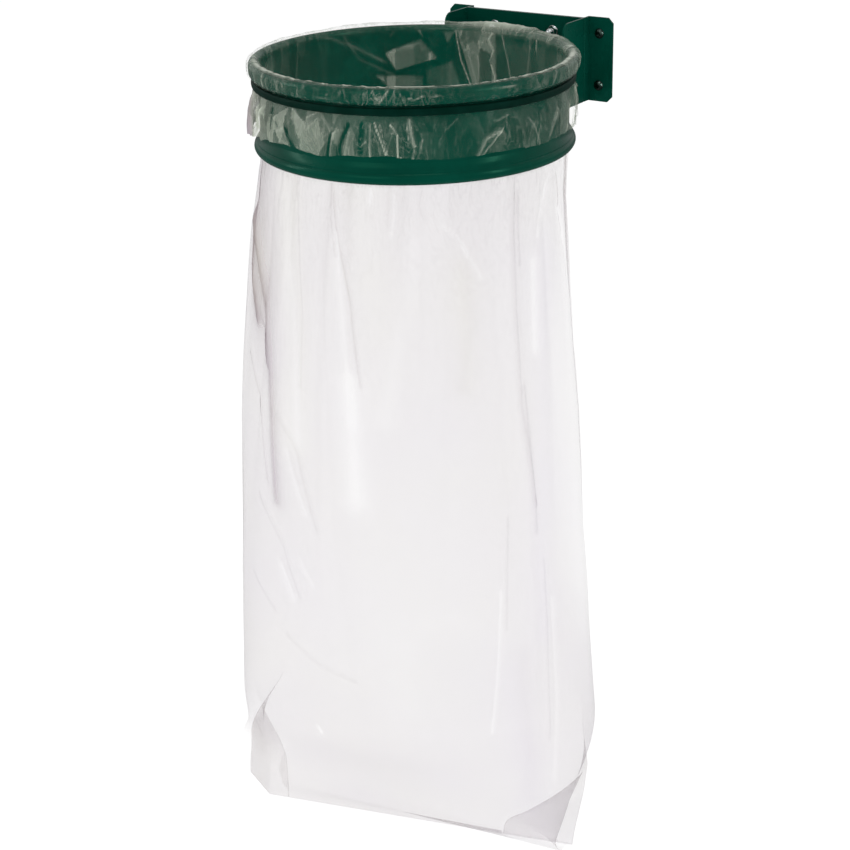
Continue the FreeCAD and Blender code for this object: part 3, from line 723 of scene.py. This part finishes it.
# the hanging film before its folds: where each ring lies and which way is out of it, in mm
def bodyRings(depths, turn):
    seamTurn = math.radians(bag["seamAngle"])
    viewTurn = math.radians(cameraView["azimuth"])
    slant = viewTurn - seamTurn
    x, y, outX, outY = np.zeros((4, len(depths), len(turn)))
    for row, depth in enumerate(depths):
        left, right, across, forward = [
            np.interp(depth, bodySections[:, 0], bodySections[:, c]) for c in range(1, 5)
        ]
        half = math.sqrt(((right - left) / 2) ** 2 - (across * math.sin(slant)) ** 2) / math.cos(slant)
        middle = (right + left) / 2
        openX, openY = openRing(half, across, turn)
        ringX = openX * math.cos(seamTurn) - openY * math.sin(seamTurn)
        ringY = openX * math.sin(seamTurn) + openY * math.cos(seamTurn)
        ringX += middle * math.cos(viewTurn) + forward * math.sin(viewTurn)
        ringY += middle * math.sin(viewTurn) - forward * math.cos(viewTurn)
        shutX, shutY = foldedRing(turn, max(across - bag["gapLess"], 1.0))
        flatX = shutX * math.cos(seamTurn) - shutY * math.sin(seamTurn) + bag["seamMiddle"][0]
        flatY = shutX * math.sin(seamTurn) + shutY * math.cos(seamTurn) + bag["seamMiddle"][1]
        shut = smoothStep(bag["shutFrom"], bag["shutFrom"] + bag["shutOver"], depth)
        x[row] = ringX * (1 - shut) + flatX * shut
        y[row] = ringY * (1 - shut) + flatY * shut
        tangentX = np.roll(x[row], -1) - np.roll(x[row], 1)
        tangentY = np.roll(y[row], -1) - np.roll(y[row], 1)
        length = np.hypot(tangentX, tangentY) + 1e-9
        outX[row], outY[row] = tangentY / length, -tangentX / length
    return x, y, outX, outY


def makeFilmBag():
    generator = np.random.default_rng(bag["seed"])
    skirt = softened(resample(cuffLine[:6], 2.0), 2)
    neck = softened(resample(cuffLine[5:], 1.7), 1)
    top = np.array(cuffTop)
    inside = softened(resample(cuffInside, 2.2), 2)
    cuff = np.vstack([skirt[:-1], neck[:-1], top, inside])
    depths = np.arange(bodySections[0, 0] + bag["bodyStep"], bag["seamDepth"], bag["bodyStep"])
    depths = np.append(depths, bag["seamDepth"])
    rows = len(cuff) + len(depths)
    count = bag["around"]
    angle = np.linspace(0, 2 * math.pi, count, endpoint=False)[None, :]
    bearing = np.degrees(angle) - cameraView["azimuth"] + 90
    turnRound = angle / (2 * math.pi)

    # travel along the film from the hem, in mm
    lineR = np.concatenate([cuff[:, 0], np.full(len(depths), bodySections[0, 1])])
    lineZ = np.concatenate([cuff[:, 1], -depths])
    travel = np.concatenate([[0], np.cumsum(np.hypot(np.diff(lineR), np.diff(lineZ)))])[:, None]
    along = travel / travel[-1]
    z = np.repeat(lineZ[:, None], count, 1)

    slopeR, slopeZ = np.gradient(lineR), np.gradient(lineZ)
    size = np.hypot(slopeR, slopeZ)
    normalR, normalZ = (slopeZ / size)[:, None], (-slopeR / size)[:, None]

    innerRow = len(skirt) + len(neck) + len(top) - 2    # the first row on the collar's inner side
    lipTravel = travel[innerRow - 7, 0]                 # and the rim's edge, a few rows before it
    turn = (turnRound[0] - bag["seamAngle"] / 360) % 1.0
    rings = bodyRings(depths, turn)
    x = np.vstack([cuff[:, 0:1] * np.cos(angle), rings[0]])
    y = np.vstack([cuff[:, 0:1] * np.sin(angle), rings[1]])
    outX = np.vstack([np.repeat(np.cos(angle), len(cuff), 0), rings[2]])
    outY = np.vstack([np.repeat(np.sin(angle), len(cuff), 0), rings[3]])

    # how far each row is into each part of the film
    onSkirt = 1 - smoothStep(34, 50, travel)            # 1 at the hem, 0 by the strap
    underStrap = np.exp(-((z[:, :1] + 26.5) / 6.5) ** 2) * (travel < 75)
    depth = -z[:, :1]
    foot = bodySections[0, 0]                           # where the film leaves the collar
    isInside = np.zeros((rows, 1))
    isInside[innerRow:] = 1
    insideCollar = isInside * smoothStep(2, 22, depth) * (depth < foot + 1)
    onCurl = ((travel > 66) & (isInside < 1)).astype(float)
    onBody = isInside * (depth >= foot - 1)
    atSeam = smoothStep(0, 120, bag["seamDepth"] - depth) * onBody + (1 - onBody)

    warp = (ripple(generator, turnRound, along, 23, 6) * 0.006
            + ripple(generator, turnRound, along, 61, 14) * 0.0016)
    onCuff = np.clip(travel / bag["cuffLength"], 0, 1)
    coarse = ripple(generator, turnRound + warp, along, 34, 3)
    medium = ripple(generator, turnRound + warp, along, 74, 7)
    fine = ripple(generator, turnRound + warp * 1.4, along, 150, 18)
    broad = ripple(generator, turnRound + warp, along, 9, 4)
    tuck = ripple(generator, turnRound + warp, onCuff, 92, 2)
    swell = ripple(generator, turnRound, onCuff, 26, 2)
    crush = ripple(generator, turnRound + warp * 2, onCuff, 120, 14)

    bunch = byBearing(bearing, roundTheFilm["bunch"])
    bunch = np.repeat(bunch, rows, 0)

    # the skirt: pleats fan out below the strap
    facetValue, facetCrease, facetTilt = crumple(
        generator, turnRound * bag["cuffRound"], np.minimum(travel, bag["cuffLength"]), bag["cuffRound"],
        bag["facetWide"], bag["facetTall"])
    facetTilt = facetTilt * (travel < bag["cuffLength"])
    facetCrease = facetCrease * (travel < 128)
    skirtPleats = (3.0 * pleated(tuck) + 1.8 * swell + 2.4 * facetTilt) * onSkirt * (0.35 + 0.65 * bunch)
    skirtHighlightsAndClearings, skirtLift = strokes(bearing, depth, bag["skirtRadius"], skirtFolds)
    rimHighlightsAndCrinkles = strokes(bearing, depth, bag["rimRadius"], rimFolds)[0]
    skirtHighlightsAndClearings, skirtLift = skirtHighlightsAndClearings * (travel < 60), skirtLift * onSkirt
    skirtPleats = skirtPleats + skirtLift
    # a lobe of loose film at each side, and the slack that makes the hem wander
    lobes = np.zeros_like(skirtPleats)
    dips = np.zeros_like(skirtPleats)
    for centre, width, outward, drop in hemLobes:
        bell = np.exp(-(nearBearing(bearing, centre) / width) ** 2)
        lobes = lobes + outward * bell * (1 - smoothStep(0, 44, travel))
        dips = dips + drop * bell * (1 - smoothStep(0, 45, travel))
    wander = ripple(generator, turnRound, 0 * turnRound, 40, 1) * 1.6 * (1 - smoothStep(0, 40, travel))

    # under the strap the film is squeezed flat against the wall
    squeezed = 1.0 * pleated(fine) * underStrap
    standOff = byBearing(bearing, roundTheFilm["standOff"])
    overTop = onCurl * smoothStep(70, 84, travel) + isInside * (1 - smoothStep(0, 26, depth))
    overTop = np.clip(overTop, 0, 1)
    curlPleats = (0.5 + 1.0 * bunch * pleated(medium) + 0.9 * bunch * pleated(fine)) * onCurl
    curlLift = standOff * overTop * (0.75 + 0.25 * coarse)
    # inside the collar: shallow hanging folds
    wallMilk, wallLift = strokes(bearing, depth, bag["wallRadius"], wallFolds)
    for corners, panelMilk, panelLift in wallPanels:
        panel = insidePanel(bearing, depth, bag["wallRadius"], corners)
        wallMilk = wallMilk + panelMilk * panel * (0.5 + 0.5 * facetValue + 0.7 * pleated(crush) ** 3)
        wallLift = wallLift + panelLift * panel
    wallMilk, wallLift = wallMilk * isInside * (depth < foot), wallLift * insideCollar
    hang = (1.6 * pleated(coarse) + 1.0 * pleated(medium) * bunch + 2 * np.clip(broad, 0, 1)
            + 1.2 * bunch * np.abs(facetTilt)) * insideCollar + wallLift

    # the body: gathers fade as the film opens
    gather = 4.0 * (pleated(coarse) - 0.5) * np.exp(-((depth - foot) / 170).clip(0)) * onBody
    gather = gather + 1.8 * (pleated(medium) - 0.5) * np.exp(-((depth - foot) / 70).clip(0)) * onBody
    sway = (4.5 * broad + 1.6 * coarse * np.exp(-((depth - foot) / 400).clip(0))) * onBody
    sway = sway * smoothStep(0, 120, depth - foot)
    folds = np.zeros((rows, count))
    for topBearing, lowBearing, start, stop, height, width in longFolds:
        mix = np.clip((depth - start) / (stop - start), 0, 1)
        centre = topBearing + (lowBearing - topBearing) * mix
        fade = smoothStep(start - 10, start + 60, depth) * (1 - smoothStep(stop - 220, stop, depth))
        offset = nearBearing(bearing, centre) / (width * (0.7 + 0.9 * mix))
        folds += height * np.exp(-np.abs(offset) ** 1.35) * fade * onBody
    # painted shade and highlight streaks down the body, drawn as milkier and clearer film
    bodyShadeAndHighlights, bodyLift = strokes(bearing, depth, bag["bodyRadius"], bodyFolds)
    bodyShadeAndHighlights, bodyLift = bodyShadeAndHighlights * onBody, bodyLift * onBody
    stain = strokes(bearing, depth, bag["bodyRadius"], bodyStains)[0] * onBody
    body = (gather + sway + 0.42 * folds - bodyLift) * atSeam

    push = skirtPleats + lobes + squeezed + curlPleats + curlLift + hang
    z = z - dips - wander
    radial = normalR * push
    x = x + (outX * radial) - outX * body
    y = y + (outY * radial) - outY * body
    z = z + normalZ * push

    # nothing of the skirt goes into the collar, and nothing under the strap comes through it
    reach = np.hypot(x, y)
    outside = (isInside < 1) & (z < -19)
    lowest = 190.2 + 5.2 * smoothStep(82, 88, -z)
    highest = np.where((z < -20.5) & (z > -32.5), 193.7, 400.0)
    wanted = np.where(outside, np.clip(reach, lowest, highest), reach)
    inCollar = (isInside > 0) & (depth < foot)
    wanted = np.where(inCollar & (depth > 6), np.minimum(wanted, 187.6), wanted)
    x, y = x * wanted / reach, y * wanted / reach

    # how milky the film is at each point: gathered film scatters more than stretched film
    # the hanging film is a little milkier towards the bottom, painted light for the light it takes from
    # the floor
    hanging = 0.138 + 0.02 * broad + 0.02 * smoothStep(400, 900, depth)
    milk = np.where(onBody > 0, hanging, 0.004) * np.ones((rows, count))
    milk = milk + 0.07 * onBody * np.exp(-((depth - foot) / 160).clip(0)) * (0.5 + pleated(coarse))
    toRight = nearBearing(bearing, 0)
    rightEdge = smoothStep(48, 72, toRight) * (1 - smoothStep(96, 140, toRight))
    milk = milk * (1 - 0.5 * onBody * rightEdge * (1 - smoothStep(650, 880, depth)))
    # where a side is folded in, the milk of four layers is left in two of them
    fold = (bag["flatWidth"] / mm / 2 - bag["seamRight"] - bag["seamLeft"]) / 2
    gap = np.clip(np.interp(depth, bodySections[:, 0], bodySections[:, 3]) - bag["gapLess"], 1, fold)
    folding = smoothStep(bag["shutFrom"], bag["shutFrom"] + bag["shutOver"], depth) ** 2
    for fromTip, opened in ((-((turn + 0.5) % 1 - 0.5), gap), (turn - 0.5, gap * bag["leftGap"])):
        front = fromTip[None, :] * bag["flatWidth"] / mm
        drawn = np.sqrt(fold ** 2 - opened ** 2)
        hidden = smoothStep(0, 3, front) * (1 - smoothStep(fold + drawn - 2, fold + drawn + 2, front))
        milk = milk * (1 - 0.9 * onBody * hidden * folding * (drawn / fold) ** 2)
    rimMilk = byBearing(bearing, roundTheFilm["rimMilk"])
    skirtMilk = byBearing(bearing, roundTheFilm["skirtMilk"])
    onRim = np.clip(onCurl * smoothStep(66, 74, travel) + isInside * (1 - smoothStep(0, 12, depth)), 0, 1)
    facets = 0.4 + 1.1 * facetValue ** 1.6
    milk = milk + rimMilk * onRim * facets + 0.16 * bunch ** 4 * pleated(fine) ** 4 * onRim
    # a painted highlight: a thin white line where the film turns over the rim's inner edge
    frontLipHighlight = 0.22 + 0.6 * (1 - smoothStep(70, 100, np.abs(toRight)))
    milk = milk + frontLipHighlight * np.exp(-((travel - lipTravel) / 2.6) ** 2) * (0.6 + 0.4 * fine)
    milk = milk + 0.3 * overTop * smoothStep(2.6, 5.4, standOff) * (1 - smoothStep(0, 4, depth))
    milk = milk + rimHighlightsAndCrinkles * onRim
    milk = milk + skirtMilk * (1 - smoothStep(50, 62, travel)) * facets
    onFacets = np.clip(onSkirt + onRim + 0.5 * insideCollar, 0, 1)
    milk = milk + 0.2 * facetCrease * bunch ** 3 * (0.1 + facetValue) * onFacets
    milk = milk + 0.14 * pleated(tuck) ** 6 * bunch ** 2 * onSkirt
    # the milkier skirt folds are painted highlights, whiter film along the folds; the clearer ones are
    # clear film
    milk = milk + skirtHighlightsAndClearings * np.where(skirtHighlightsAndClearings > 0.3, 1.5, 1.0) * (0.65 + 0.6 * facetValue)
    milk = milk + 0.42 * np.exp(-(nearBearing(bearing, -88) / 13) ** 2) * (1 - smoothStep(44, 56, travel))
    inMilk = byBearing(bearing, roundTheFilm["wallMilk"])
    milk = milk + inMilk * insideCollar * facets + bodyShadeAndHighlights
    milk = milk + wallMilk * (0.5 + 0.8 * facetValue)
    milk = np.clip(milk, 0.004, 0.95)
    hangingLoose = onBody * (0.05 + 0.3 * np.exp(-((depth - foot) / 90).clip(0)))
    loose = np.clip(onSkirt * 1.0 * bunch + onCurl * bunch + insideCollar * 0.06 + hangingLoose, 0, 1)

    points = np.stack([axisX + x * mm, axisY + y * mm, rimTop + z * mm], axis=-1).reshape(-1, 3)
    index = np.arange(rows * count).reshape(rows, count)
    right = np.roll(index, -1, axis=1)
    quads = np.stack([index[:-1], right[:-1], right[1:], index[1:]], axis=-1).reshape(-1, 4)
    item = addPiece("film_bag", points.tolist(), quads.tolist(), filmMaterial)
    # the loose lobe at the left hangs clear of the paint, so it gets less of the painted green bounce
    lobe = np.exp(-(nearBearing(bearing, -88) / 12) ** 2) * (1 - smoothStep(30, 50, travel))
    paintBounce = np.where(onBody > 0, 0.0, 1.0) * (1 - 0.85 * lobe)
    for name, values in (("milk", milk), ("loose", loose * np.ones((rows, count))),
                         ("paintBounce", paintBounce), ("stain", stain)):
        attribute = item.data.attributes.new(name, "FLOAT", "POINT")
        attribute.data.foreach_set("value", values.astype(np.float32).ravel())
    return item


filmBag = makeFilmBag()
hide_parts("bag")
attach(filmBag, "holder")
print("film bag hung")

strap = {
    "around": 360,
    "thickness": 3.4,       # mm
    "width": 9.8,
    "wave": 0.7,
    "crown": 0.55,          # how square the crown is, lower is squarer
    "crownPoints": 17,
    "edge": 0.5,            # mm of flat side before the crown starts
    "squeeze": 0.94,        # how much of its width shows once it is stretched
    "seed": 3,
}


def makeStrap():
    generator = np.random.default_rng(strap["seed"])
    inner = (strapHigh.x - strapLow.x) / 2 / mm - strap["thickness"]
    middle = (strapHigh.z + strapLow.z) / 2
    half = strap["width"] / 2
    # a flat back against the film and a low crown in front
    section = []
    for a in np.linspace(-math.pi / 2, math.pi / 2, strap["crownPoints"]):
        bulge = math.copysign(abs(math.cos(a)) ** strap["crown"], math.cos(a))
        section.append((strap["edge"] + (strap["thickness"] - strap["edge"]) * bulge, half * math.sin(a)))
    section += [(0.0, half - 1.0), (0.0, 1.0 - half)]
    section = np.array(section)
    count = strap["around"]
    angle = np.linspace(0, 2 * math.pi, count, endpoint=False)
    turn = angle / (2 * math.pi)
    lift = ripple(generator, turn, 0 * turn, 17, 1) * strap["wave"] * 0.5
    points, faces = [], []
    size = len(section)
    for k in range(count):
        for out, up in section:
            r = (inner + min(out, strap["thickness"])) * mm
            points.append((axisX + r * math.cos(angle[k]), axisY + r * math.sin(angle[k]),
                           middle + (up * strap["squeeze"] + lift[k]) * mm))
    for k in range(count):
        for j in range(size):
            a, b = k * size + j, k * size + (j + 1) % size
            c, d = ((k + 1) % count) * size + (j + 1) % size, ((k + 1) % count) * size + j
            faces.append((a, d, c, b))
    return addPiece("rubber_strap", points, faces, rubberMaterial)


rubberStrap = makeStrap()
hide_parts("strap")
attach(rubberStrap, "strap")
print("strap made")

studio = {
    "floorDrop": 0.55,      # metres below the bag
    "floorSize": 300.0,
    "sky": 0.56,            # light from above the horizon
    "room": 0.3,            # share of it that comes from below
    "horizon": 0.02,        # height over which one turns to the other
    "floorGlow": 0.505,     # lifts the paper to the white of a lit studio sweep
    "lampAim": -0.3,        # metres from the rim to the height that the lamps point at
    # bearing from the camera's side, distance, height above the rim, size, watts, for gloss only
    "lamps": {
        "rightBox": (56, 1.9, 0.3, (0.16, 1.2), 9, True),
        "leftBox": (-92, 2.0, 0.5, (0.16, 1.2), 6, True),
        "frontBox": (-34, 2.6, 1.0, (1.2, 1.2), 9, False),
        "topBox": (10, 0.6, 2.2, (0.9, 0.9), 6, False),
    },
}


def addLamp(name, bearing, away, height, size, power, onlyGloss):
    turn = math.radians(bearing + cameraView["azimuth"])
    data = bpy.data.lights.new(name, "AREA")
    data.shape = "RECTANGLE"
    data.size, data.size_y = size
    data.energy = power
    lamp = bpy.data.objects.new(name, data)
    bpy.context.scene.collection.objects.link(lamp)
    lamp.location = (axisX + away * math.sin(turn), axisY - away * math.cos(turn), rimTop + height)
    aim = Vector((axisX, axisY, rimTop + studio["lampAim"])) - lamp.location
    lamp.rotation_euler = aim.to_track_quat("-Z", "Y").to_euler()
    lamp.visible_diffuse = not onlyGloss


def makeStudio():
    bpy.ops.mesh.primitive_plane_add(size=studio["floorSize"],
                                     location=(axisX, axisY, bagLow.z - studio["floorDrop"]))
    floor = bpy.context.object
    floor.name = "floor"
    # matt background paper: even and pale, and it isn't mirrored in the paint
    material, tree, output = newMaterial("palePaper")
    shader = addNode(tree, "ShaderNodeBsdfPrincipled",
                     {"Base Color": hexColour("#F8F8F8"), "Roughness": 1.0,
                      "Specular IOR Level": 0.0, "Emission Color": (1, 1, 1, 1),
                      "Emission Strength": studio["floorGlow"]})
    tree.links.new(shader.outputs["BSDF"], output.inputs["Surface"])
    floor.data.materials.append(material)
    floor.visible_glossy = False

    world = bpy.data.worlds.new("studio")
    world.use_nodes = True
    background = world.node_tree.nodes["Background"]
    direction = addNode(world.node_tree, "ShaderNodeTexCoord").outputs["Generated"]
    upward = addNode(world.node_tree, "ShaderNodeSeparateXYZ", links={"Vector": direction})
    sky = addNode(world.node_tree, "ShaderNodeValToRGB", links={"Fac": upward.outputs["Z"]},
                  stops=[(0.0, grey(studio["room"])), (studio["horizon"], grey(1.0))])
    world.node_tree.links.new(sky.outputs["Color"], background.inputs["Color"])
    background.inputs["Strength"].default_value = studio["sky"]
    bpy.context.scene.world = world

    for name, lamp in studio["lamps"].items():
        addLamp(name, *lamp)


makeStudio()
bpy.context.scene.view_settings.view_transform = "Standard"
bpy.context.scene.cycles.transparent_max_bounces = 16
print("studio lit")
